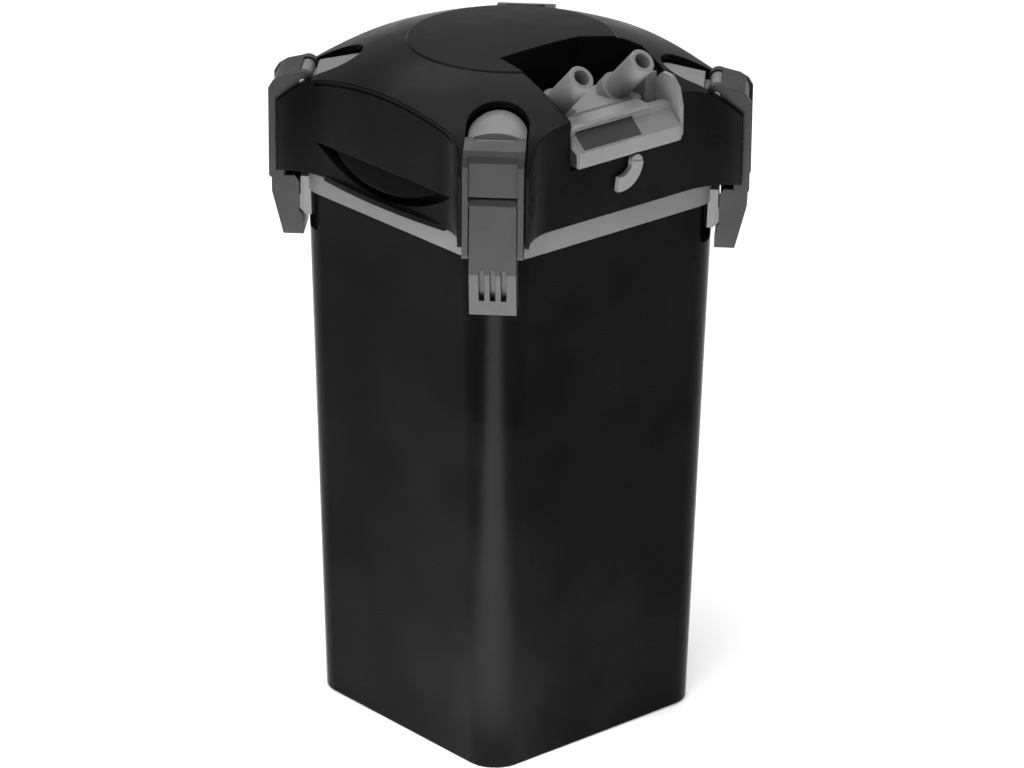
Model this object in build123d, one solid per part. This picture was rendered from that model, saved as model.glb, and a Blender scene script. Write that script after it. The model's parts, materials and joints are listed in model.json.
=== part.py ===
"""External canister filter: square tapered canister, lift-off pump head, corner clips and hose adapter.

The origin is at the centre of the footprint, on the surface that the rubber feet stand on.
+Z is up, the hose adapter faces -Y, and the two hand grips face -X and +X.
"""
from build123d import *
import os
from math import atan2, degrees

# Canister
BASE_SIDE = 186.0          # outer side at the bottom
BODY_SIDE = 205.0          # outer side under the trim ring
BASE_RADIUS = 22.0
BODY_RADIUS = 30.0
FOOT_DROP = 0.8            # how far the feet stand out below the canister
FOOT_HEIGHT = 3.6
BODY_TOP = 363.0
WALL = 3.2
FLOOR = 4.0
RIM_SIDE = 200.0
RIM_RADIUS = 28.5
RIM_TOP = 376.0
RIM_WALL = 3.0

# Trim ring and its corner catches
RING_SIDE = 207.6
RING_RADIUS = 32.0
RING_TOP = 378.0
CATCH_HALF = 13.0

# Head
HEAD_BOTTOM = 379.0
HEAD_HALF = 108.0          # half distance between opposite flat sides
HEAD_WALL = 3.0
DISC_RADIUS = 68.0
CROWN_Z = 470.3
EAR_HALF = 22.6            # half distance over the two ears beside a clip
EAR_REACH = 151.5          # how far out the ears run on the diagonal
EAR_BLEND = 40.0           # hollow radius from each flat side out to an ear
TURNED_RADIUS = 154.0
CORNER_WALL = 144.0        # distance to the wall behind each clip
NOTCH_HALF = 19.8
NOTCH_BACK = 116.0
NOTCH_FLOOR = 431.0
PLATE_TOP = 384.0
SKIRT_HALF = 94.5
SKIRT_BOTTOM = 354.0

# Corner clips, in a frame whose X runs out through the corner
HINGE_R = 134.0
HINGE_Z = 439.0
BARREL_RADIUS = 6.6
PIVOT_R = 150.0
PIVOT_Z = 407.8
CLIP_HALF = 19.35
RAIL_INNER = 15.5
KNUCKLE_HALF = 12.5
PIN_RADIUS = 2.0
LEVER_PIN_RADIUS = 1.6
FIT = 0.05                 # radial running clearance
CORNERS = {"front_left": 225, "front_right": 315, "rear_right": 45, "rear_left": 135}

# Hose adapter
TAIL_X = 25.8
TAIL_ROOT_Y = -71.0
TAIL_ROOT_Z = 444.8
TAIL_LENGTH = 37.5
TAIL_RADIUS = 8.6
TAIL_SEAT_RADIUS = 9.4      # wider root of each tail, held in its boss
TAIL_SEAT_FROM = -1.5       # along the tail from its root point
TAIL_SEAT_TO = 4.0
BOSS_RADIUS = 11.0
SPIGOT_RADIUS = 8.6
BORE_RADIUS = 5.5
HOSE_ROOM = 12.6            # radius kept clear around each tail
SPIGOT_Y = -68.0
TAP_Z = 430.0
TAP_RADIUS = 9.5
RECESS_FLOOR = 416.0
BLOCK_TOP = 443.0
CHEEK_LEFT = -41.3
CHEEK_RIGHT = 45.3
CHEEK_THICK = 3.0
LATCH_Y = -96.0
LATCH_Z = 437.5
EAR_LEFT = -38.3            # left edge of the small hinge ear behind the flap
FLOW_X = 9.5
FLOW_Z = 411.0
INLAY_LEFT = -37.0
INLAY_RIGHT = 12.0

# Finger grips in the two plain sides
GRIP_TOP = 401.5
GRIP_DROP = 20.5
GRIP_ARC = 120.5
LENS_ARC = 114.5

# Pump
MOTOR_Y = 27.0
MOTOR_RADIUS = 33.0
MOTOR_TOP = 440.0
WELL_RADIUS = 13.0
WHEEL_RADIUS = 23.0
CHAMBER_RADIUS = 26.0
CHAMBER_BOTTOM = 361.0
SHAFT_RADIUS = 1.5
GLAND_Z = 402.0

# Filter baskets and media
BASKET_SIDE = 172.0
BASKET_RADIUS = 16.0
BASKET_WALL = 2.0
BASKET_BOTTOM = 12.0
BASKET_HEIGHT = 80.0
PREFILTER_HEIGHT = 70.0
DUCT_RADIUS = 11.0
DUCT_BORE = 9.0
GRID_PITCH = 21.0
GRID_HOLE = 14.0
MEDIA_GAP = 0.5

PARTS = {}


def keep(name, shape):
    """Remember one named sub-part for export."""
    PARTS[name] = shape


def block(x0, x1, y0, y1, z0, z1):
    """Box between two corners."""
    centre = Pos((x0 + x1) / 2, (y0 + y1) / 2, (z0 + z1) / 2)
    return centre * Box(x1 - x0, y1 - y0, z1 - z0)


def rod(radius, x, y, z0, z1):
    """Upright cylinder."""
    return Pos(x, y, (z0 + z1) / 2) * Cylinder(radius, z1 - z0)


def tube(outer, inner, x, y, z0, z1):
    """Upright tube."""
    return rod(outer, x, y, z0, z1) - rod(inner, x, y, z0 - 1, z1 + 1)


def cross_rod(radius, x0, x1, y, z):
    """Cylinder along X."""
    return Pos((x0 + x1) / 2, y, z) * Rot(0, 90, 0) * Cylinder(radius, x1 - x0)


def pin(radius, half, x, z):
    """Cylinder along Y, centred on Y = 0."""
    return Pos(x, 0, z) * Rot(90, 0, 0) * Cylinder(radius, 2 * half)


def slab(points, y0, y1):
    """Outline in the XZ plane, given depth from y0 to y1."""
    face = Plane.XZ.offset(-y0) * Polygon(*points, align=None)
    return extrude(face, amount=y1 - y0, dir=(0, 1, 0))


def side_slab(points, x0, x1):
    """Outline in the YZ plane, given depth from x0 to x1."""
    face = Plane.YZ.offset(x0) * Polygon(*points, align=None)
    return extrude(face, amount=x1 - x0, dir=(1, 0, 0))


def square_prism(side, radius, z0, z1):
    """Upright prism of a rounded square."""
    return extrude(Pos(0, 0, z0) * RectangleRounded(side, side, radius), amount=z1 - z0)


def taper(side0, radius0, z0, side1, radius1, z1):
    """Rounded square that widens from z0 to z1."""
    low = Pos(0, 0, z0) * RectangleRounded(side0, side0, radius0)
    high = Pos(0, 0, z1) * RectangleRounded(side1, side1, radius1)
    return loft([low, high])


def four_corners(shape):
    """The same shape at each corner."""
    return [Rot(0, 0, angle) * shape for angle in CORNERS.values()]


# Canister, trim ring, seal and feet

def canister_form(grow=0.0):
    """Tapered outer form of the canister."""
    low = BASE_SIDE + 2 * grow
    high = BODY_SIDE + 2 * grow
    return taper(low, BASE_RADIUS + grow, FOOT_DROP, high, BODY_RADIUS + grow, BODY_TOP)


def make_canister():
    outer = canister_form()
    outer = fillet(outer.edges().group_by(Axis.Z)[0], 1.5)
    rim = square_prism(RIM_SIDE, RIM_RADIUS, BODY_TOP, RIM_TOP)
    shoulder_z = BODY_TOP - 6
    inner_low = BASE_SIDE - 2 * WALL
    inner_high = BODY_SIDE - 2 * WALL
    cavity_bottom = FOOT_DROP + FLOOR
    cavity = taper(inner_low, BASE_RADIUS - WALL, cavity_bottom, inner_high, BODY_RADIUS - WALL, shoulder_z)
    mouth_side = RIM_SIDE - 2 * RIM_WALL
    mouth = square_prism(mouth_side, RIM_RADIUS - RIM_WALL, shoulder_z - 1, RIM_TOP + 1)
    pockets = [rod(9.1, x, y, 0, FOOT_HEIGHT) for x, y in foot_places()]
    keep("canister", outer + rim - cavity - mouth - pockets)


def foot_places():
    return [(x, y) for x in (-70, 70) for y in (-70, 70)]


def make_feet():
    feet = [fillet(rod(9, x, y, 0, FOOT_HEIGHT).edges().group_by(Axis.Z)[0], 1) for x, y in foot_places()]
    keep("rubber_feet", Compound(children=feet))


def make_trim_ring():
    ring = square_prism(RING_SIDE, RING_RADIUS, BODY_TOP + 0.2, RING_TOP)
    ring = chamfer(ring.edges().group_by(Axis.Z)[-1], 0.8)
    ring = ring - square_prism(RIM_SIDE + 0.4, RIM_RADIUS + 0.2, BODY_TOP - 1, RING_TOP + 1)
    outline = [(126, 372), (136.6, 372), (136.6, 359.5), (141.3, 357.5)]
    outline += [(141.3, 353.4), (133, 345.4), (126, 345.4)]
    catch = slab(outline, -CATCH_HALF, CATCH_HALF)
    catches = [c - canister_form(0.15) for c in four_corners(catch)]
    rim_room = square_prism(RIM_SIDE + 0.4, RIM_RADIUS + 0.2, BODY_TOP - 1, RING_TOP + 1)
    catches = [catch - rim_room for catch in catches]
    keep("trim_ring", ring + catches)


def make_seal():
    outer = square_prism(RIM_SIDE - 0.6, RIM_RADIUS - 0.3, RIM_TOP, HEAD_BOTTOM)
    inner = square_prism(RIM_SIDE - 5, RIM_RADIUS - 2.5, RIM_TOP - 1, HEAD_BOTTOM + 1)
    keep("head_seal", outer - inner)


# Head

def head_turned(inset=0.0, bottom=HEAD_BOTTOM):
    """Turned form of the head: slightly domed disc, sloping shoulder and upright wall."""
    d = inset
    rim = DISC_RADIUS - d
    crown = ThreePointArc((0, CROWN_Z - d), (rim / 2, CROWN_Z - 0.8 - d), (rim - 0.6, CROWN_Z - 3.1 - d))
    step = Line(crown @ 1, (rim + 0.4, CROWN_Z - 4.2 - d))
    slope_points = [(78, 463.3), (92, 458.6), (108, 452.3), (118.4, 448)]
    slope_points += [(131, 442.2), (141.6, 435.4), (148, 430.5)]
    slope_points = [(r - d, z - d) for r, z in slope_points]
    slope = Spline(step @ 1, *slope_points, (TURNED_RADIUS - d, 425.5 - d))
    wall = Line(slope @ 1, (TURNED_RADIUS - d, bottom))
    base = Line(wall @ 1, (0, bottom))
    axis = Line(base @ 1, crown @ 0)
    return revolve(Plane.XZ * make_face([crown, step, slope, wall, base, axis]), Axis.Z)


def flared_plan():
    """Square whose sides sweep out to the ears beside each clip."""
    band = Rectangle(2 * EAR_REACH, 2 * EAR_HALF)
    plan = Rectangle(2 * HEAD_HALF, 2 * HEAD_HALF) + Rot(0, 0, 45) * band + Rot(0, 0, 135) * band
    hollows = [v for v in plan.vertices() if min(abs(v.X), abs(v.Y)) < 80]
    return fillet(hollows, EAR_BLEND)


def head_form():
    """Outer form of the head."""
    prism = extrude(Pos(0, 0, HEAD_BOTTOM) * flared_plan(), amount=CROWN_Z + 1 - HEAD_BOTTOM, dir=(0, 0, 1))
    return head_turned() & prism


def head_cavity():
    """Hollow of the head, one wall inside the flat sides and the corner walls."""
    half = HEAD_HALF - HEAD_WALL
    low = HEAD_BOTTOM - 1
    box = block(-half, half, -half, half, low, CROWN_Z)
    return head_turned(HEAD_WALL, low) & box & rod(CORNER_WALL - HEAD_WALL, 0, 0, low, CROWN_Z)


def recess_prism(grow, floor):
    """Adapter recess: wider at the back, open at the front."""
    g = grow
    back = [(-36 - g, -30 + g), (31 + g / 2, -30 + g), (61 + g, -44 + g / 2), (66 + g, -52)]
    plan = back + [(50 + g, -108), (50 + g, -130), (-44 - g, -130), (-44 - g, -108)]
    return extrude(Pos(0, 0, floor) * Polygon(*plan, align=None), amount=CROWN_Z + 5 - floor, dir=(0, 0, 1))


def grip_disc(radius):
    """Cylinder across X whose lowest arc bounds the finger grip."""
    centre_z = GRIP_TOP - GRIP_DROP + GRIP_ARC
    return Pos(-HEAD_HALF, 0, centre_z) * Rot(0, 90, 0) * Cylinder(radius, 60)


def grip_pocket(grow, depth_x):
    """D-shaped finger pocket in the -X side: straight above, curved below."""
    return grip_disc(GRIP_ARC + grow) & block(-HEAD_HALF - 8, depth_x, -90, 90, 370, GRIP_TOP + grow)


def grip_lens():
    """Sloping lens-shaped lip that hangs in the pocket above the finger gap."""
    lip = [(-97, 402.5), (-103.5, 402.5), (-109.6, 388.5), (-109.6, 386)]
    lip += [(-105.4, 386), (-99, 394), (-97, 398)]
    return slab(lip, -70, 70) & grip_disc(LENS_ARC)


def grip_ledge():
    """Low curved ledge under the pocket."""
    bulge = 4.0
    reach = 60.0
    radius = (reach ** 2 + bulge ** 2) / (2 * bulge)
    plan = rod(radius, -HEAD_HALF - bulge + radius, 0, 377, 380.8)
    return plan & block(-HEAD_HALF - bulge - 1, -104.7, -reach, reach, 377, 380.8)


def seam_groove():
    """Shallow seam that follows the arch of the two grip sides."""
    band = head_turned(1.4) - head_turned(2.6)
    left = block(-HEAD_HALF - 1, -HEAD_HALF + 1, -72, 72, HEAD_BOTTOM + 2, CROWN_Z)
    right = block(HEAD_HALF - 1, HEAD_HALF + 1, -72, 72, HEAD_BOTTOM + 2, CROWN_Z)
    return [band & left, band & right]


def corner_notch():
    """Round-backed notch for one clip hinge, and the gap between its ears."""
    half = NOTCH_HALF
    notch = rod(half, NOTCH_BACK, 0, NOTCH_FLOOR, 490) + block(NOTCH_BACK, 165, -half, half, NOTCH_FLOOR, 490)
    return notch + block(CORNER_WALL, 165, -half, half, HEAD_BOTTOM - 1, NOTCH_FLOOR + 1)


def make_head_cover():
    outer = head_form()
    cavity = head_cavity()
    grips = [Rot(0, 0, a) * grip_pocket(2.5, -92) for a in (0, 180)]
    for wall in grips + [recess_prism(3, RECESS_FLOOR - 3)]:
        cavity = cavity - wall
    cover = outer - cavity
    cover = cover - recess_prism(0, RECESS_FLOOR)
    for angle in (0, 180):
        cover = cover - Rot(0, 0, angle) * grip_pocket(0, -94.5)
        cover = cover + Rot(0, 0, angle) * grip_lens()
        cover = cover + Rot(0, 0, angle) * grip_ledge()
    for groove in seam_groove():
        cover = cover - groove
    for notch in four_corners(corner_notch()):
        cover = cover - notch
    for side in (-1, 1):
        cover = cover - rod(10.7, side * TAIL_X, SPIGOT_Y, RECESS_FLOOR - 5, RECESS_FLOOR + 1)
    flow_hole = Pos(FLOW_X, -104, FLOW_Z) * Rot(90, 0, 0) * Cylinder(2.5 + FIT, 12)
    gland_hole = Pos(0, HEAD_HALF, GLAND_Z) * Rot(90, 0, 0) * Cylinder(6.05, 12)
    keep("head_cover", cover - flow_hole - gland_hole)


def make_head_base():
    half = HEAD_HALF - HEAD_WALL - 0.3
    plate = block(-half, half, -half, half, HEAD_BOTTOM + 0.1, PLATE_TOP)
    plate = plate & rod(140.4, 0, 0, HEAD_BOTTOM, PLATE_TOP + 1)
    skirt = square_prism(2 * SKIRT_HALF, 25, SKIRT_BOTTOM, HEAD_BOTTOM + 0.1)
    skirt = skirt - square_prism(2 * SKIRT_HALF - 6, 22, SKIRT_BOTTOM - 1, HEAD_BOTTOM + 0.1)
    chamber = rod(CHAMBER_RADIUS + 3, 0, MOTOR_Y, CHAMBER_BOTTOM, HEAD_BOTTOM + 0.1)
    spout = block(12, 36, -26, MOTOR_Y, CHAMBER_BOTTOM, HEAD_BOTTOM + 0.1)
    base = plate + skirt + chamber + spout
    base = base - rod(CHAMBER_RADIUS, 0, MOTOR_Y, CHAMBER_BOTTOM - 1, HEAD_BOTTOM + 0.1)
    base = base - block(15, 33, -23, MOTOR_Y, CHAMBER_BOTTOM + 3, HEAD_BOTTOM + 0.1)
    base = base - rod(WELL_RADIUS, 0, MOTOR_Y, HEAD_BOTTOM - 1, PLATE_TOP + 1)
    base = base - rod(7, TAIL_X, -16, HEAD_BOTTOM - 1, PLATE_TOP + 1)
    base = base - rod(13.05, -TAIL_X, SPIGOT_Y, HEAD_BOTTOM - 1, PLATE_TOP + 1)
    for hole in four_corners(rod(2.05, 112, 0, HEAD_BOTTOM - 1, PLATE_TOP + 1)):
        base = base - hole
    for angle in (0, 180):
        base = base - Rot(0, 0, angle) * grip_pocket(2.9, -91.6)
    keep("head_base", base)


def tongue_form():
    """Gently rounded top of the insert: low at the back, just proud of the head at the clip."""
    curve = 40.0
    start = (95.0, 452.4)
    end = (127.0, 445.7)
    tilt = degrees(atan2(start[1] - end[1], end[0] - start[0]))
    middle = Pos((start[0] + end[0]) / 2, 0, (start[1] + end[1]) / 2) * Rot(0, tilt, 0)
    return middle * Pos(0, 0, -curve) * Rot(0, 90, 0) * Cylinder(curve, 60)


def corner_bracket():
    """Insert with a sloping half-round tongue, a hinge knuckle and a post."""
    half = NOTCH_HALF - 1.4
    front = 125.6
    tongue = rod(half, NOTCH_BACK, 0, 432, 470) + block(NOTCH_BACK, front, -half, half, 432, 470)
    tongue = tongue & block(90, front, -half, half, 432, 470) & tongue_form()
    knuckle = pin(5.2, KNUCKLE_HALF, HINGE_R, HINGE_Z)
    neck = block(124, 137, -KNUCKLE_HALF, KNUCKLE_HALF, 432, HINGE_Z - 0.5)
    post = block(104, 130, -10, 10, PLATE_TOP, 432)
    bracket = tongue + post + neck + knuckle
    bracket = bracket - pin(PIN_RADIUS, 30, HINGE_R, HINGE_Z)
    return bracket - rod(2.0, 112, 0, PLATE_TOP - 1, 402)


def make_corner_brackets():
    keep("corner_brackets", Compound(children=four_corners(corner_bracket())))
    hinge_pin = pin(PIN_RADIUS, CLIP_HALF, HINGE_R, HINGE_Z)
    keep("clip_hinge_pins", Compound(children=four_corners(hinge_pin)))
    head = rod(4, 112, 0, HEAD_BOTTOM - 2.9, HEAD_BOTTOM + 0.1)
    screw = head + rod(2, 112, 0, HEAD_BOTTOM, 400)
    drive = Pos(112, 0, HEAD_BOTTOM - 2.9) * Box(5, 1, 2.4) + Pos(112, 0, HEAD_BOTTOM - 2.9) * Box(1, 5, 2.4)
    keep("head_screws", Compound(children=four_corners(screw - drive)))


# Corner clips

def clip_arm():
    """Arm that hangs from the head's corner and carries the finger lever."""
    cap = [(HINGE_R, HINGE_Z + BARREL_RADIUS), (148, 442.2)]
    rail = cap + [(153.5, 438.8), (156.5, 434), (156.5, 374.5), (155.5, 373), (147, 373), (146.4, 376)]
    rail = rail + [(146.4, 431), (141, 434.5), (HINGE_R, HINGE_Z - BARREL_RADIUS)]
    web = cap + [(152, 439.8), (154, 436), (154, 413.6), (150, 413.6)]
    web += [(150, 433), (143, 437.5), (HINGE_R, 437.5)]
    arm = slab(web, -RAIL_INNER - 0.5, RAIL_INNER + 0.5)
    arm = arm + pin(BARREL_RADIUS, CLIP_HALF, HINGE_R, HINGE_Z)
    for side in (-1, 1):
        low, high = sorted((side * RAIL_INNER, side * CLIP_HALF))
        arm = arm + slab(rail, low, high)
    half = KNUCKLE_HALF + 0.3
    gap = [(118, 422), (118, 457), (142.4, 457), (HINGE_R, HINGE_Z), (139.2, 437), (139.2, 422)]
    arm = arm - pin(5.75, half, HINGE_R, HINGE_Z) - slab(gap, -half, half)
    arm = arm - pin(PIN_RADIUS + FIT, 30, HINGE_R, HINGE_Z)
    return arm - pin(LEVER_PIN_RADIUS, 30, PIVOT_R, PIVOT_Z)


def clip_lever():
    """Finger lever with a claw between two cheeks and three slots above its end."""
    inner = RAIL_INNER - 0.5
    outer = [(155.2, 373), (155.2, 362), (147.8, 332.5)]
    panel = slab([(151.2, 408), (155.2, 408), (155.2, 365), (151.2, 365)], -inner, inner)
    hub = pin(5.2, inner, PIVOT_R, PIVOT_Z)
    claw = [(134.4, 332.5), (134.4, 340), (135.3, 346.6), (142.4, 353.6)]
    claw += [(142.4, 358.6), (147, 366), (147, 373)]
    cheek = [(135.2, 332.5), (135.2, 343), (137.2, 347), (137.2, 369), (140, 373)]
    lever = panel + hub + slab(outer + claw, -inner, inner)
    for side in (-1, 1):
        low, high = sorted((side * (CATCH_HALF + 0.4), side * inner))
        lever = lever + slab(outer + cheek, low, high)
    for y in (-7, 0, 7):
        slot = slab([(160, 364.5), (152.5, 364.5), (146.5, 345), (146, 343), (160, 343)], y - 1.7, y + 1.7)
        lever = lever - slot
    return lever - pin(LEVER_PIN_RADIUS + FIT, 30, PIVOT_R, PIVOT_Z)


def make_clips():
    arm = clip_arm()
    lever = clip_lever()
    lever_pin = pin(LEVER_PIN_RADIUS, CLIP_HALF, PIVOT_R, PIVOT_Z)
    for corner, angle in CORNERS.items():
        keep("clip_arm_" + corner, Rot(0, 0, angle) * arm)
        keep("clip_lever_" + corner, Rot(0, 0, angle) * lever)
        keep("lever_pin_" + corner, Rot(0, 0, angle) * lever_pin)


# Hose adapter

def tail_place(side):
    """Frame whose Z runs along a hose tail, from its root to its mouth."""
    return Pos(side * TAIL_X, TAIL_ROOT_Y, TAIL_ROOT_Z) * Rot(45, 0, 0)


def along(radius, z0, z1):
    return Pos(0, 0, (z0 + z1) / 2) * Cylinder(radius, z1 - z0)


def make_tails():
    body = along(TAIL_RADIUS, TAIL_SEAT_FROM, TAIL_LENGTH)
    body = chamfer(body.edges().group_by(Axis.Z)[-1], 0.6)
    body = body + along(TAIL_SEAT_RADIUS, TAIL_SEAT_FROM, TAIL_SEAT_TO)
    tail = body - along(BORE_RADIUS, -5, TAIL_LENGTH + 1)
    for side, name in ((-1, "inlet_tail"), (1, "outlet_tail")):
        keep(name, tail_place(side) * tail)


def adapter_cheeks():
    """Right cheek with a broad back, and the small hinge ear at the left."""
    right = CHEEK_RIGHT + CHEEK_THICK
    cheek = [(-70, 418), (-70, 437), (-95, 459), (-103, 458.4), (-109.4, 452)]
    cheek += [(-112.6, 440), (-112.6, 420.5), (-108, 418)]
    broad = [(-62, 418), (-62, 442), (-76, 454), (-86.5, 457), (-86.5, 418)]
    ear = [(-92.6, 418), (-92.6, LATCH_Z), (-99.4, LATCH_Z), (-99.4, 418)]
    pieces = [side_slab(cheek, CHEEK_RIGHT, right), side_slab(broad, 38.5, right)]
    pieces.append(side_slab(ear, EAR_LEFT, EAR_LEFT + CHEEK_THICK))
    pieces.append(cross_rod(3.4, EAR_LEFT, EAR_LEFT + CHEEK_THICK, LATCH_Y, LATCH_Z))
    return pieces


def make_adapter_body():
    half = 36.0
    right = CHEEK_RIGHT + CHEEK_THICK
    body = block(-half, half, -86, -50, RECESS_FLOOR + 2.2, BLOCK_TOP)
    body = fillet(body.edges().filter_by(Axis.X).group_by(Axis.Z)[-1], 3)
    sole = [(-35.6, -48), (right, -48), (right, -110), (EAR_LEFT, -110), (EAR_LEFT, -92)]
    body = body + extrude(Pos(0, 0, RECESS_FLOOR + 0.2) * Polygon(*sole, align=None), amount=2, dir=(0, 0, 1))
    for piece in adapter_cheeks():
        body = body + piece
    for side in (-1, 1):
        x = side * TAIL_X
        boss = tail_place(side) * along(BOSS_RADIUS, -4, TAIL_SEAT_TO)
        body = body + (boss & block(x - 20, x + 20, -86, -50, 438, 470))
        body = body - tail_place(side) * along(HOSE_ROOM, TAIL_SEAT_TO, 20)
        body = body + rod(SPIGOT_RADIUS, x, SPIGOT_Y, 402, RECESS_FLOOR + 3)
        body = body - tail_place(side) * along(TAIL_SEAT_RADIUS, TAIL_SEAT_FROM, TAIL_SEAT_TO)
        body = body - tail_place(side) * along(BORE_RADIUS, -6, 5)
        body = body - rod(BORE_RADIUS, x, SPIGOT_Y, 400, 442)
        body = body - (rod(9.2, x, SPIGOT_Y, 406, 408.6) - rod(7.4, x, SPIGOT_Y, 405, 409))
        body = body - cross_rod(TAP_RADIUS + FIT, *sorted((side * 14.0, side * (half + 1))), SPIGOT_Y, TAP_Z)
    body = body - cross_rod(1.5, EAR_LEFT - 1, right + 1, LATCH_Y, LATCH_Z)
    keep("adapter_body", body)
    seals = [tube(10.2, 7.5, side * TAIL_X, SPIGOT_Y, 406.2, 408.4) for side in (-1, 1)]
    keep("adapter_seals", Compound(children=seals))


def make_taps():
    for side, name in ((-1, "inlet_tap"), (1, "outlet_tap")):
        plug = cross_rod(TAP_RADIUS, *sorted((side * 14.2, side * 35.6)), SPIGOT_Y, TAP_Z)
        plug = plug - rod(BORE_RADIUS, side * TAIL_X, SPIGOT_Y, TAP_Z - 12, TAP_Z + 12)
        keep(name, plug)


def make_lock_lever():
    """Flap with a thumb bar along its top, a sloping inlay and a lip."""
    x0 = CHEEK_LEFT
    hub_x0 = EAR_LEFT + CHEEK_THICK + 0.4
    x1 = CHEEK_RIGHT - 0.4
    back = [(-95, 441.3), (-99.9, 441.3), (-99.9, 432.6), (-111, 426.4), (-111, 419)]
    face = [(-114.6, 419), (-114.6, 428.4), (-104.2, 437.6), (-104.2, 441)]
    lever = side_slab(back + face + [(-102.4, 441.3)], x0, x1)
    lever = lever + side_slab([(-95, 441), (-104.8, 441), (-106.4, 442.6), (-106.4, 445), (-95, 446)], x0, 24)
    lever = lever + cross_rod(3.0, hub_x0, x1, LATCH_Y, LATCH_Z)
    lever = lever + side_slab([(-96, 441.3), (-100.5, 441.3), (-100.5, 434.6), (-96, 434.6)], hub_x0, x1)
    lever = lever - cross_rod(1.5 + FIT, hub_x0 - 1, x1 + 1, LATCH_Y, LATCH_Z)
    seat = [(-104, 439.5), (-101.6, 437.4), (-112, 428.2), (-114.4, 430.3)]
    inlay = [(-103.4, 438.2), (-102.2, 437.0), (-112.0, 428.3), (-113.2, 429.5)]
    lever = lever - side_slab(seat, INLAY_LEFT, INLAY_RIGHT)
    keep("lock_lever", lever)
    sheet = side_slab(inlay, INLAY_LEFT, INLAY_RIGHT)
    keep("lock_lever_inlay", sheet & side_slab(seat, INLAY_LEFT, INLAY_RIGHT))
    keep("lock_lever_pin", cross_rod(1.5, EAR_LEFT, CHEEK_RIGHT + CHEEK_THICK, LATCH_Y, LATCH_Z))


def make_flow_lever():
    hub = Pos(FLOW_X, -110.2, FLOW_Z) * Rot(90, 0, 0) * Cylinder(4.9, 3.2)
    spindle = Pos(FLOW_X, -104.4, FLOW_Z) * Rot(90, 0, 0) * Cylinder(2.5, 9.6)
    centre = (FLOW_X - 13, FLOW_Z + 1)
    outer = CenterArc(centre, 18.2, -4, -96)
    inner = CenterArc((centre[0] - 0.5, centre[1] + 1.2), 9.6, -100, 96)
    join_a = Line(outer @ 1, inner @ 0)
    join_b = Line(inner @ 1, outer @ 0)
    crescent = Plane.XZ.offset(108.6) * make_face([outer, join_a, inner, join_b])
    blade = extrude(crescent, amount=3.6)
    keep("flow_lever", hub + spindle + blade)


# Pump and ducts inside the head

def make_motor():
    motor = rod(MOTOR_RADIUS, 0, MOTOR_Y, PLATE_TOP, MOTOR_TOP)
    motor = fillet(motor.edges().group_by(Axis.Z)[-1], 4)
    motor = motor + block(-15, 15, MOTOR_Y + 28, MOTOR_Y + 50, PLATE_TOP, 414)
    keep("motor_block", motor - rod(WELL_RADIUS, 0, MOTOR_Y, PLATE_TOP - 1, 426))
    keep("ceramic_shaft", rod(SHAFT_RADIUS, 0, MOTOR_Y, 359, 424.5))
    upper = rod(5, 0, MOTOR_Y, 420.5, 426) - rod(SHAFT_RADIUS, 0, MOTOR_Y, 419, 424.5)
    lower = tube(3.5, SHAFT_RADIUS, 0, MOTOR_Y, 358, CHAMBER_BOTTOM)
    keep("shaft_bushes", Compound(children=[upper, lower]))


def make_impeller():
    bore = SHAFT_RADIUS + FIT
    keep("impeller_magnet", tube(11.8, bore, 0, MOTOR_Y, 380, 419))
    wheel = rod(8, 0, MOTOR_Y, 363, 380)
    blade = Pos(0, MOTOR_Y, 0) * block(6, WHEEL_RADIUS, -1, 1, 363, 376)
    for index in range(6):
        turn = Pos(0, MOTOR_Y, 0) * Rot(0, 0, 60 * index) * Pos(0, -MOTOR_Y, 0)
        wheel = wheel + turn * blade
    keep("impeller_wheel", wheel - rod(bore, 0, MOTOR_Y, 360, 385))


def make_impeller_cover():
    top = CHAMBER_BOTTOM
    plate = rod(CHAMBER_RADIUS + 3, 0, MOTOR_Y, top - 3, top)
    eye = tube(12, 5.5, 0, MOTOR_Y, top - 4, top + 1)
    for index in range(3):
        spoke = Pos(0, MOTOR_Y, 0) * Rot(0, 0, 120 * index + 30) * block(4, 13, -1.2, 1.2, top - 3, top)
        eye = eye - spoke
    keep("impeller_cover", plate - eye - rod(3.5, 0, MOTOR_Y, top - 4, top + 1))


def make_ducts():
    x = -TAIL_X
    inlet = rod(13, x, SPIGOT_Y, 350, RECESS_FLOOR - 3) - rod(10.35, x, SPIGOT_Y, 400, RECESS_FLOOR)
    inlet = inlet - rod(8, x, SPIGOT_Y, 355, 401) - rod(DUCT_RADIUS + 0.3, x, SPIGOT_Y, 349, 357)
    keep("inlet_duct", inlet)
    x = TAIL_X
    drop_y = -16.0
    outlet = rod(13, x, SPIGOT_Y, PLATE_TOP, RECESS_FLOOR - 3)
    outlet = outlet + block(x - 9, x + 9, SPIGOT_Y, drop_y + 9, PLATE_TOP, 402)
    outlet = outlet - rod(10.35, x, SPIGOT_Y, 400, RECESS_FLOOR)
    outlet = outlet - rod(6.5, x, SPIGOT_Y, PLATE_TOP + 3, 401)
    outlet = outlet - block(x - 6.4, x + 6.4, SPIGOT_Y, drop_y + 6, PLATE_TOP + 3, 399)
    keep("outlet_duct", outlet - rod(6, x, drop_y, PLATE_TOP - 1, PLATE_TOP + 5))


def make_gland():
    centre = Pos(0, HEAD_HALF, GLAND_Z) * Rot(-90, 0, 0)
    gland = centre * Pos(0, 0, -4) * Cylinder(6, 12)
    gland = gland + centre * Pos(0, 0, 1.2) * Cylinder(9, 2.4)
    gland = gland + centre * Pos(0, 0, 6.9) * Cone(6.4, 4.9, 9)
    keep("cable_gland", gland - centre * Cylinder(3.4, 40))


# Baskets and media

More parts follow.
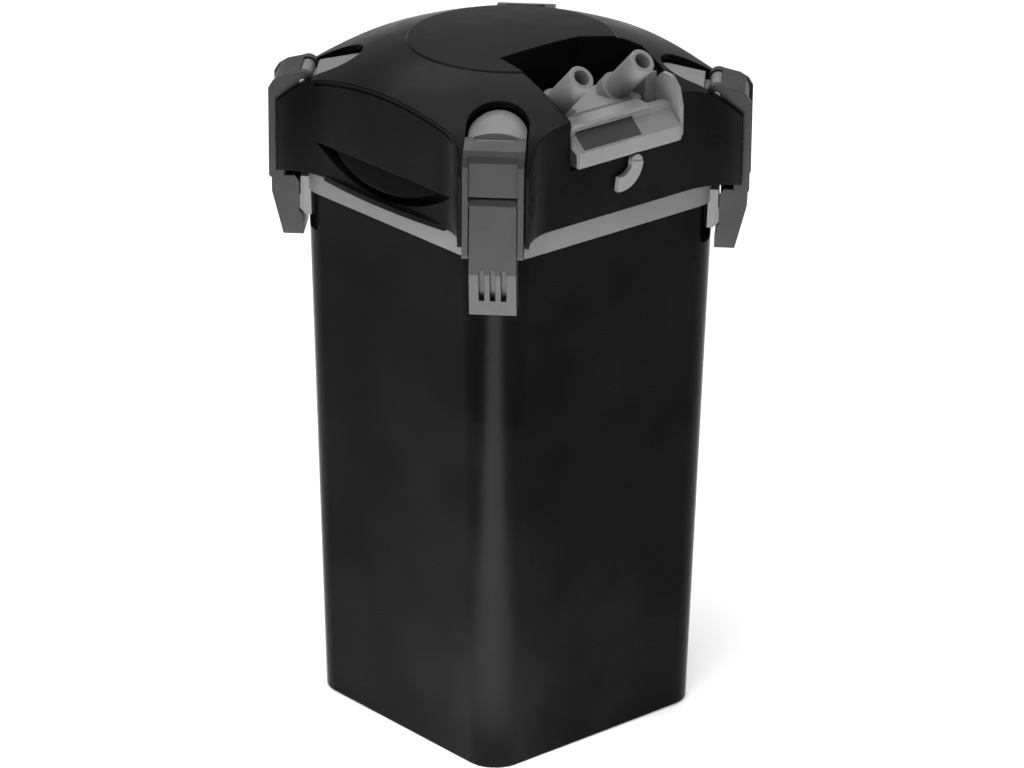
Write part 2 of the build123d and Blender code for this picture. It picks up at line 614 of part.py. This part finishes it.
def square_cup(z0, height):
    outer = square_prism(BASKET_SIDE, BASKET_RADIUS, z0, z0 + height)
    hollow_side = BASKET_SIDE - 2 * BASKET_WALL
    return outer - square_prism(hollow_side, BASKET_RADIUS - BASKET_WALL, z0 + BASKET_WALL, z0 + height + 1)


def grid_places():
    """Centres of the floor openings, leaving room for the duct and the walls."""
    steps = [GRID_PITCH * k for k in range(-3, 4)]
    places = [(x, y) for x in steps for y in steps]
    return [(x, y) for x, y in places if abs(x + TAIL_X) > 24 or abs(y - SPIGOT_Y) > 24]


def basket(z0, height):
    cup = square_cup(z0, height)
    cup = cup + rod(DUCT_RADIUS + 2.4, -TAIL_X, SPIGOT_Y, z0, z0 + height)
    cup = cup - rod(DUCT_RADIUS + 0.4, -TAIL_X, SPIGOT_Y, z0 - 1, z0 + height + 1)
    holes = [block(x - GRID_HOLE / 2, x + GRID_HOLE / 2, y - GRID_HOLE / 2, y + GRID_HOLE / 2, z0 - 1, z0 + 5)
             for x, y in grid_places()]
    return cup - holes


def media(z0, z1):
    side = BASKET_SIDE - 2 * BASKET_WALL - 2 * MEDIA_GAP
    pad = square_prism(side, BASKET_RADIUS - BASKET_WALL - MEDIA_GAP, z0, z1)
    return pad - rod(DUCT_RADIUS + 2.9, -TAIL_X, SPIGOT_Y, z0 - 1, z1 + 1)


def bail(top):
    """Carrying handle, folded flat under a basket's rim."""
    frame = block(-78, 78, -3, 44, top - 4.5, top - 1.5)
    return frame - block(-73, 73, -10, 39, top - 5, top)


def make_baskets():
    names = ("lower_basket", "middle_basket", "upper_basket")
    bails = []
    for index, name in enumerate(names):
        z0 = BASKET_BOTTOM + index * BASKET_HEIGHT
        shape = basket(z0, BASKET_HEIGHT)
        if index == 0:
            legs = [block(x - 5, x + 5, y - 5, y + 5, FOOT_DROP + FLOOR, z0 + 1) for x, y in foot_places()]
            shape = shape + legs
        keep(name, shape)
        bails.append(bail(z0 + BASKET_HEIGHT))
    z0 = BASKET_BOTTOM + 3 * BASKET_HEIGHT
    keep("prefilter_basket", basket(z0, PREFILTER_HEIGHT))
    bails.append(bail(z0 + PREFILTER_HEIGHT))
    keep("basket_handles", Compound(children=bails))
    top = FOOT_DROP + FLOOR + 4
    keep("intake_pipe", tube(DUCT_RADIUS, DUCT_BORE, -TAIL_X, SPIGOT_Y, top, 355))


def make_media():
    floor = BASKET_WALL + MEDIA_GAP
    room = BASKET_HEIGHT - 6
    level = [BASKET_BOTTOM + k * BASKET_HEIGHT for k in range(4)]
    keep("ceramic_media", media(level[0] + floor, level[0] + room))
    keep("biological_media", media(level[1] + floor, level[1] + room))
    keep("coarse_blue_foam", media(level[2] + floor, level[2] + 52))
    keep("fine_white_pad", media(level[2] + 52.3, level[2] + room))
    keep("prefilter_foam", media(level[3] + floor, level[3] + PREFILTER_HEIGHT - 6))


def make_all():
    make_canister()
    make_feet()
    make_trim_ring()
    make_seal()
    make_head_cover()
    make_head_base()
    make_corner_brackets()
    make_clips()
    make_tails()
    make_adapter_body()
    make_taps()
    make_lock_lever()
    make_flow_lever()
    make_motor()
    make_impeller()
    make_impeller_cover()
    make_ducts()
    make_gland()
    make_baskets()
    make_media()


make_all()
os.makedirs("parts", exist_ok=True)
for part_name, part_shape in PARTS.items():
    export_step(part_shape, "parts/" + part_name + ".step")
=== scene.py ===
"""Looks for the canister filter: camera, studio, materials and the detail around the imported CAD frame."""

import json
import math
import random

import bmesh
import bpy
from mathutils import Euler, Matrix, Quaternion, Vector
from mathutils import noise as solid_noise


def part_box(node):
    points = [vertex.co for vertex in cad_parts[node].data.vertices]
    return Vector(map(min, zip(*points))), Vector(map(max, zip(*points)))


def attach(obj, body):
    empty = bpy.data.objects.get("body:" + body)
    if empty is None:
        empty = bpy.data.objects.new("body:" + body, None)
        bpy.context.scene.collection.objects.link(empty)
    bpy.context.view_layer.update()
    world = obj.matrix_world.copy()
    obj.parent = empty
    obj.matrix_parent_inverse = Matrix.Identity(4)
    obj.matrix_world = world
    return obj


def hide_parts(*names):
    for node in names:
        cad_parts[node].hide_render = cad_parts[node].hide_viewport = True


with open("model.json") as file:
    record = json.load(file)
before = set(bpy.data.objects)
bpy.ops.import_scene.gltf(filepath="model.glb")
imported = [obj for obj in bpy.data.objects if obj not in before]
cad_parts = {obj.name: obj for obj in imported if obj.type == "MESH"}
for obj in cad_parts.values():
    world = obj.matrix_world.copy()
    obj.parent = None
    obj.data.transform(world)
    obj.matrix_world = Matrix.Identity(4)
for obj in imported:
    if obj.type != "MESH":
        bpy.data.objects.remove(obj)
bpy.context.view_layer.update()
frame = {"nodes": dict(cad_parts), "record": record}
NODES = frame["nodes"]
SLOTS = {entry["node"]: entry["material_slot"] for entry in frame["record"]["subparts"]}

# Camera, in metres and degrees
AZIMUTH = -41.0
DISTANCE = 3.126
HEIGHT = 1.517
PITCH = 22.46
ROLL = 0.5
LENS = 178.9
SHIFT_X = 0.0033

# Studio, in metres, degrees and watts; azimuths as the camera's
WORLD_LIGHT = 0.55
SUN = {"azimuth": -80, "elevation": 62, "spread": 80, "strength": 1.9}
TOP_BACK = {"azimuth": 139, "elevation": 62, "distance": 1.6, "size": (1.2, 1.2), "power": 14}
FRONT_POOL = {"azimuth": -49, "reach": 0.68, "height": 0.1, "size": (0.4, 0.96), "power": 16}
SOFTBOX_AIM = 0.3
FLOOR_HALF = 30.0
FLOOR_TONE = 0.9

# Filter media, in metres
DUCT_ROOM = 0.0125    # radius kept free for the intake pipe, which passes through every tray
FOAM_CELL = 0.003
RING_ROOM = 0.0082
RING_PITCH = 0.0165
RING_STEPS = 16
RING_PROFILE = [(0.0034, -0.0052), (0.0058, -0.0052), (0.0062, -0.0048)]
RING_PROFILE += [(r, -z) for r, z in reversed(RING_PROFILE)]
BALL_ROOM = 0.0065
BALL_PITCH = 0.0131
BALL_RADII = (0.0058, 0.0063)


# Camera and studio

def make_camera():
    data = bpy.data.cameras.new("camera")
    data.lens = LENS
    data.sensor_width = 36
    data.shift_x = SHIFT_X
    data.clip_end = 50
    camera = bpy.data.objects.new("camera", data)
    a = math.radians(AZIMUTH)
    camera.location = (math.sin(a) * DISTANCE, -math.cos(a) * DISTANCE, HEIGHT)
    camera.rotation_mode = "QUATERNION"
    aim = Euler((math.radians(90 - PITCH), 0, a)).to_quaternion()
    camera.rotation_quaternion = aim @ Quaternion((0, 0, 1), math.radians(ROLL))
    bpy.context.collection.objects.link(camera)
    bpy.context.scene.camera = camera


def direction(azimuth, elevation):
    """Unit vector from the object towards that azimuth and elevation."""
    a, e = math.radians(azimuth), math.radians(elevation)
    return Vector((math.sin(a) * math.cos(e), -math.cos(a) * math.cos(e), math.sin(e)))


def add_light(name, kind, power):
    data = bpy.data.lights.new(name, kind)
    data.energy = power
    light = bpy.data.objects.new(name, data)
    bpy.context.collection.objects.link(light)
    return light


def shape_light(light, size):
    light.data.shape = "RECTANGLE"
    light.data.size, light.data.size_y = size


def face_object(light, away):
    light.rotation_mode = "QUATERNION"
    light.rotation_quaternion = away.to_track_quat("Z", "Y")


def softbox(name, azimuth, elevation, distance, size, power):
    """Rectangular light that faces the object."""
    light = add_light(name, "AREA", power)
    shape_light(light, size)
    away = direction(azimuth, elevation)
    light.location = Vector((0, 0, SOFTBOX_AIM)) + away * distance
    face_object(light, away)


def make_world():
    world = bpy.data.worlds.new("studio")
    world.use_nodes = True
    background = world.node_tree.nodes["Background"]
    background.inputs["Color"].default_value = (1, 1, 1, 1)
    background.inputs["Strength"].default_value = WORLD_LIGHT
    bpy.context.scene.world = world


def make_sun(azimuth, elevation, spread, strength):
    light = add_light("sun", "SUN", strength)
    light.data.angle = math.radians(spread)
    face_object(light, direction(azimuth, elevation))


def make_floor():
    mesh = bpy.data.meshes.new("floor")
    corners = [(x * FLOOR_HALF, y * FLOOR_HALF, 0) for x, y in ((-1, -1), (1, -1), (1, 1), (-1, 1))]
    mesh.from_pydata(corners, [], [(0, 1, 2, 3)])
    floor = bpy.data.objects.new("floor", mesh)
    bpy.context.collection.objects.link(floor)
    material = bpy.data.materials.new("floor_paint")
    material.use_nodes = True
    shader = material.node_tree.nodes["Principled BSDF"]
    shader.inputs["Base Color"].default_value = (FLOOR_TONE, FLOOR_TONE, FLOOR_TONE, 1)
    shader.inputs["Roughness"].default_value = 0.9
    shader.inputs["Specular IOR Level"].default_value = 0.1
    mesh.materials.append(material)


def floor_pool(name, azimuth, reach, height, size, power):
    """Low light that shines straight down, so that the floor in front of one corner is brighter."""
    light = add_light(name, "AREA", power)
    shape_light(light, size)
    light.location = direction(azimuth, 0) * reach + Vector((0, 0, height))
    light.rotation_euler = (0, 0, math.radians(azimuth))


def make_studio():
    make_world()
    make_floor()
    make_sun(**SUN)
    softbox("top_back", **TOP_BACK)
    floor_pool("front_pool", **FRONT_POOL)
    bpy.context.scene.view_settings.view_transform = "Standard"


# Materials

class Graph:
    """Short ways to add nodes to one material."""

    def __init__(self, name):
        self.material = bpy.data.materials.new(name)
        self.material.use_nodes = True
        self.tree = self.material.node_tree
        self.shader = self.tree.nodes["Principled BSDF"]
        self.place = self.tree.nodes.new("ShaderNodeTexCoord").outputs["Object"]

    def link(self, source, target):
        self.tree.links.new(source, target)

    def scaled(self, scale):
        node = self.tree.nodes.new("ShaderNodeMapping")
        node.inputs["Scale"].default_value = scale
        self.link(self.place, node.inputs["Vector"])
        return node.outputs["Vector"]

    def noise(self, size, detail=3.0, rough=0.5, stretch=(1, 1, 1)):
        """Noise whose features are about size metres."""
        node = self.tree.nodes.new("ShaderNodeTexNoise")
        node.inputs["Scale"].default_value = 1.0 / size
        node.inputs["Detail"].default_value = detail
        node.inputs["Roughness"].default_value = rough
        self.link(self.scaled(stretch), node.inputs["Vector"])
        return node.outputs["Fac"]

    def cells(self, size, feature="F1"):
        node = self.tree.nodes.new("ShaderNodeTexVoronoi")
        node.feature = feature
        node.inputs["Scale"].default_value = 1.0 / size
        self.link(self.place, node.inputs["Vector"])
        return node.outputs["Distance"]

    def remap(self, value, low, high, to_low, to_high):
        node = self.tree.nodes.new("ShaderNodeMapRange")
        for name, number in (("From Min", low), ("From Max", high), ("To Min", to_low), ("To Max", to_high)):
            node.inputs[name].default_value = number
        self.link(value, node.inputs["Value"])
        return node.outputs["Result"]

    def mix(self, factor, first, second):
        """Colour between two, which may be colours or sockets."""
        node = self.tree.nodes.new("ShaderNodeMix")
        node.data_type = "RGBA"
        self.link(factor, node.inputs["Factor"])
        for name, value in (("A", first), ("B", second)):
            socket = [s for s in node.inputs if s.name == name and s.type == "RGBA"][0]
            if isinstance(value, tuple):
                socket.default_value = (*value, 1)
            else:
                self.link(value, socket)
        return [s for s in node.outputs if s.type == "RGBA"][0]

    def bump(self, height, depth, strength=1.0, normal=None):
        """Bump whose full height is depth metres."""
        node = self.tree.nodes.new("ShaderNodeBump")
        node.inputs["Strength"].default_value = strength
        node.inputs["Distance"].default_value = depth
        self.link(height, node.inputs["Height"])
        if normal is not None:
            self.link(normal, node.inputs["Normal"])
        return node.outputs["Normal"]

    def soft_edge(self, radius):
        node = self.tree.nodes.new("ShaderNodeBevel")
        node.samples = 6
        node.inputs["Radius"].default_value = radius
        return node.outputs["Normal"]

    def set(self, name, value):
        self.shader.inputs[name].default_value = value

    def feed(self, name, socket):
        self.link(socket, self.shader.inputs[name])


def moulded(name, colour, rough, specular=0.5, grain=0.0, grain_size=0.0007, edge=0.0006, wear=0.15):
    """Moulded plastic: faint colour drift, uneven polish, fine grain and soft edges."""
    g = Graph(name)
    drift = g.remap(g.noise(0.06, 2), 0.35, 0.65, 0, 1)
    dark = tuple(c * (1 - wear) for c in colour)
    light = tuple(c * (1 + wear) + 0.002 for c in colour)
    g.feed("Base Color", g.mix(drift, dark, light))
    smudge = g.noise(0.018, 5, 0.6)
    g.feed("Roughness", g.remap(smudge, 0.3, 0.7, rough * 0.85, rough * 1.2))
    g.set("Specular IOR Level", specular)
    normal = g.soft_edge(edge)
    if grain:
        normal = g.bump(g.noise(grain_size, 2), grain, 1.0, normal)
    wave = g.bump(g.noise(0.03, 1), 0.00004, 1.0, normal)
    g.feed("Normal", wave)
    return g.material


def steel(name):
    g = Graph(name)
    g.set("Metallic", 1.0)
    streak = g.noise(0.0006, 3, 0.5, (1, 1, 12))
    g.feed("Base Color", g.mix(streak, (0.42, 0.42, 0.43), (0.62, 0.62, 0.62)))
    g.feed("Roughness", g.remap(streak, 0.3, 0.7, 0.22, 0.4))
    g.feed("Normal", g.bump(streak, 0.00002, 1.0, g.soft_edge(0.0003)))
    return g.material


def rubber(name, colour):
    g = Graph(name)
    g.feed("Base Color", g.mix(g.noise(0.004, 3), colour, tuple(c * 1.8 for c in colour)))
    g.feed("Roughness", g.remap(g.noise(0.002, 3), 0.3, 0.7, 0.6, 0.85))
    g.feed("Normal", g.bump(g.noise(0.0005, 2), 0.00008, 1.0, g.soft_edge(0.0006)))
    return g.material


def foam(name, dark, light, pore):
    """Open-cell foam: a lighter web with the pores painted darker, as painted shade inside the holes."""
    g = Graph(name)
    cell = g.cells(pore)
    web = g.remap(cell, 0.15, 0.6, 1, 0)
    # painted shade: the colour darkens towards each cell's centre, standing in for shade inside the pores
    g.feed("Base Color", g.mix(g.remap(cell, 0.1, 0.55, 0, 1), dark, light))
    g.set("Roughness", 0.95)
    g.set("Specular IOR Level", 0.1)
    g.feed("Normal", g.bump(web, pore * 0.5))
    return g.material


def porous(name, dark, light, pore):
    """Fired or sintered media: pale, pitted and matte, with painted shade in the pits."""
    g = Graph(name)
    pits = g.noise(pore, 4, 0.7)
    # painted shade: the colour is darker where the pit noise is low, the same low spots that the bump sinks
    g.feed("Base Color", g.mix(g.remap(pits, 0.35, 0.6, 0, 1), dark, light))
    g.set("Roughness", 0.9)
    g.set("Specular IOR Level", 0.2)
    g.feed("Normal", g.bump(pits, pore * 0.4))
    return g.material


def felt(name, colour):
    g = Graph(name)
    fibres = g.noise(0.0012, 4, 0.6, (1, 1, 3))
    g.feed("Base Color", g.mix(fibres, tuple(c * 0.8 for c in colour), colour))
    g.set("Roughness", 1.0)
    g.set("Specular IOR Level", 0.1)
    g.feed("Normal", g.bump(fibres, 0.0008))
    return g.material


def make_materials():
    return {
        "gloss_black": moulded("gloss_black", (0.0008, 0.0008, 0.0008), 0.13, 0.04, 0.0, edge=0.0008),
        "head_black": moulded("head_black", (0.002, 0.002, 0.002), 0.3, 0.04, 0.00002, edge=0.0012),
        "light_grey": moulded("light_grey", (0.12, 0.12, 0.12), 0.45, 0.35, 0.00002, wear=0.05),
        "adapter_grey": moulded("adapter_grey", (0.17, 0.17, 0.17), 0.42, 0.35, 0.00002, wear=0.05),
        "dark_grey": moulded("dark_grey", (0.03, 0.03, 0.031), 0.42, 0.4, 0.00002, wear=0.08),
        "clip_grey": moulded("clip_grey", (0.014, 0.014, 0.0145), 0.38, 0.2, 0.00002, wear=0.06),
        "basket_plastic": moulded("basket_plastic", (0.03, 0.03, 0.032), 0.4, 0.4, 0.00002),
        "gland_black": moulded("gland_black", (0.015, 0.015, 0.015), 0.5, 0.4, 0.00003),
        "potting": moulded("potting", (0.02, 0.02, 0.022), 0.3, 0.5),
        "magnet": moulded("magnet", (0.03, 0.03, 0.032), 0.6, 0.4, 0.00003),
        "seal_rubber": rubber("seal_rubber", (0.012, 0.012, 0.012)),
        "foot_rubber": rubber("foot_rubber", (0.02, 0.02, 0.02)),
        "steel": steel("steel"),
        # the first colour of ceramic and sintered_glass is the painted shade in the pits
        "ceramic": porous("ceramic", (0.5, 0.44, 0.37), (0.82, 0.78, 0.72), 0.0012),
        "sintered_glass": porous("sintered_glass", (0.42, 0.37, 0.3), (0.74, 0.7, 0.62), 0.0009),
        # blue_foam's first colour is the painted shade inside the pores
        "blue_foam": foam("blue_foam", (0.01, 0.04, 0.14), (0.06, 0.2, 0.5), 0.0022),
        "white_pad": felt("white_pad", (0.85, 0.85, 0.83)),
    }


def dress_cad_nodes(materials):
    """Give every CAD node the finish of its record slot."""
    for node, slot in SLOTS.items():
        mesh = NODES[node].data
        mesh.materials.clear()
        mesh.materials.append(materials[slot])


# Filter media

def stand_for(node, name, mesh):
    """Show a new mesh in place of one CAD node of the canister."""
    mesh.materials.clear()
    mesh.materials.append(MATERIALS[SLOTS[node]])
    piece = bpy.data.objects.new(name, mesh)
    bpy.context.collection.objects.link(piece)
    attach(piece, "canister")
    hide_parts(node)
    return piece


def fine_copy(node, cell):
    """The node's own block at rest, remeshed into small square faces."""
    source = NODES[node]
    block = source.data.copy()
    block.transform(source.matrix_world)
    holder = bpy.data.objects.new(node + "_source", block)
    bpy.context.collection.objects.link(holder)
    remesh = holder.modifiers.new("remesh", "REMESH")
    remesh.mode = "VOXEL"
    remesh.voxel_size = cell
    graph = bpy.context.evaluated_depsgraph_get()
    mesh = bpy.data.meshes.new_from_object(holder.evaluated_get(graph))
    bpy.data.objects.remove(holder)
    return mesh


def pit_depth(place, grain):
    """Seamless pattern of shallow pits, coarse and fine."""
    return abs(solid_noise.noise(place / grain)) + 0.5 * abs(solid_noise.noise(place / grain * 2.3))


def rough_block(node, name, depth, grain):
    """A cut block of foam or felt, with its faces pitted inwards."""
    mesh = fine_copy(node, FOAM_CELL)
    mesh.name = name
    moved = [v.co - v.normal * depth * pit_depth(v.co, grain) for v in mesh.vertices]
    for vertex, place in zip(mesh.vertices, moved):
        vertex.co = place
    piece = stand_for(node, name, mesh)


def pipe_axis():
    low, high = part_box("intake_pipe")
    return Vector(((low[0] + high[0]) / 2, (low[1] + high[1]) / 2, 0))


def packed_centres(node, room, pitch):
    """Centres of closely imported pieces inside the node's box, clear of the intake pipe."""
    low, high = (Vector(corner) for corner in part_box(node))
    margin = Vector((room, room, room))
    low += margin
    high -= margin
    rise = pitch * math.sqrt(2 / 3)
    row = pitch * math.sqrt(3) / 2
    pipe = pipe_axis()
    centres = []
    for layer in range(int((high.z - low.z) / rise) + 1):
        offset = row * (layer % 2) / 3
        for line in range(int((high.y - low.y - offset) / row) + 1):
            start = low.x + (pitch / 2 if (line + layer) % 2 else 0)
            for step in range(int((high.x - start) / pitch) + 1):
                flat = Vector((start + step * pitch, low.y + row * line + offset, 0))
                if (flat - pipe).length > DUCT_ROOM + room:
                    centres.append(flat + Vector((0, 0, low.z + layer * rise)))
    return centres


def media_bed(node, name, room, pitch, seed, add_piece):
    """One mesh of many loose pieces, each turned at random."""
    shake = random.Random(seed)
    bed = bmesh.new()
    for centre in packed_centres(node, room, pitch):
        turn = Euler([shake.uniform(0, math.tau) for axis in range(3)]).to_matrix().to_4x4()
        add_piece(bed, Matrix.Translation(centre) @ turn, shake)
    mesh = bpy.data.meshes.new(name)
    bed.to_mesh(mesh)
    bed.free()
    mesh.shade_smooth()
    mesh.set_sharp_from_angle(angle=math.radians(50))
    stand_for(node, name, mesh)


def fired_ring(bed, place, shake):
    grow = shake.uniform(0.92, 1.0)
    loops = []
    for step in range(RING_STEPS):
        angle = math.tau * step / RING_STEPS
        across, along = math.cos(angle) * grow, math.sin(angle) * grow
        spots = [Vector((r * across, r * along, z * grow)) for r, z in RING_PROFILE]
        loops.append([bed.verts.new(place @ spot) for spot in spots])
    for step, near in enumerate(loops):
        far = loops[(step + 1) % RING_STEPS]
        for index in range(len(near)):
            after = (index + 1) % len(near)
            bed.faces.new((near[index], far[index], far[after], near[after]))


def sintered_ball(bed, place, shake):
    bmesh.ops.create_icosphere(bed, subdivisions=2, radius=shake.uniform(*BALL_RADII), matrix=place)


def make_media():
    rough_block("prefilter_foam", "prefilter_foam_pad", depth=0.0006, grain=0.006)
    rough_block("coarse_blue_foam", "coarse_blue_foam_pad", depth=0.0006, grain=0.006)
    rough_block("fine_white_pad", "fine_white_pad_felt", depth=0.0004, grain=0.012)
    media_bed("ceramic_media", "ceramic_ring_bed", RING_ROOM, RING_PITCH, 11, fired_ring)
    media_bed("biological_media", "sintered_ball_bed", BALL_ROOM, BALL_PITCH, 12, sintered_ball)


make_camera()
make_studio()
MATERIALS = make_materials()
dress_cad_nodes(MATERIALS)
make_media()
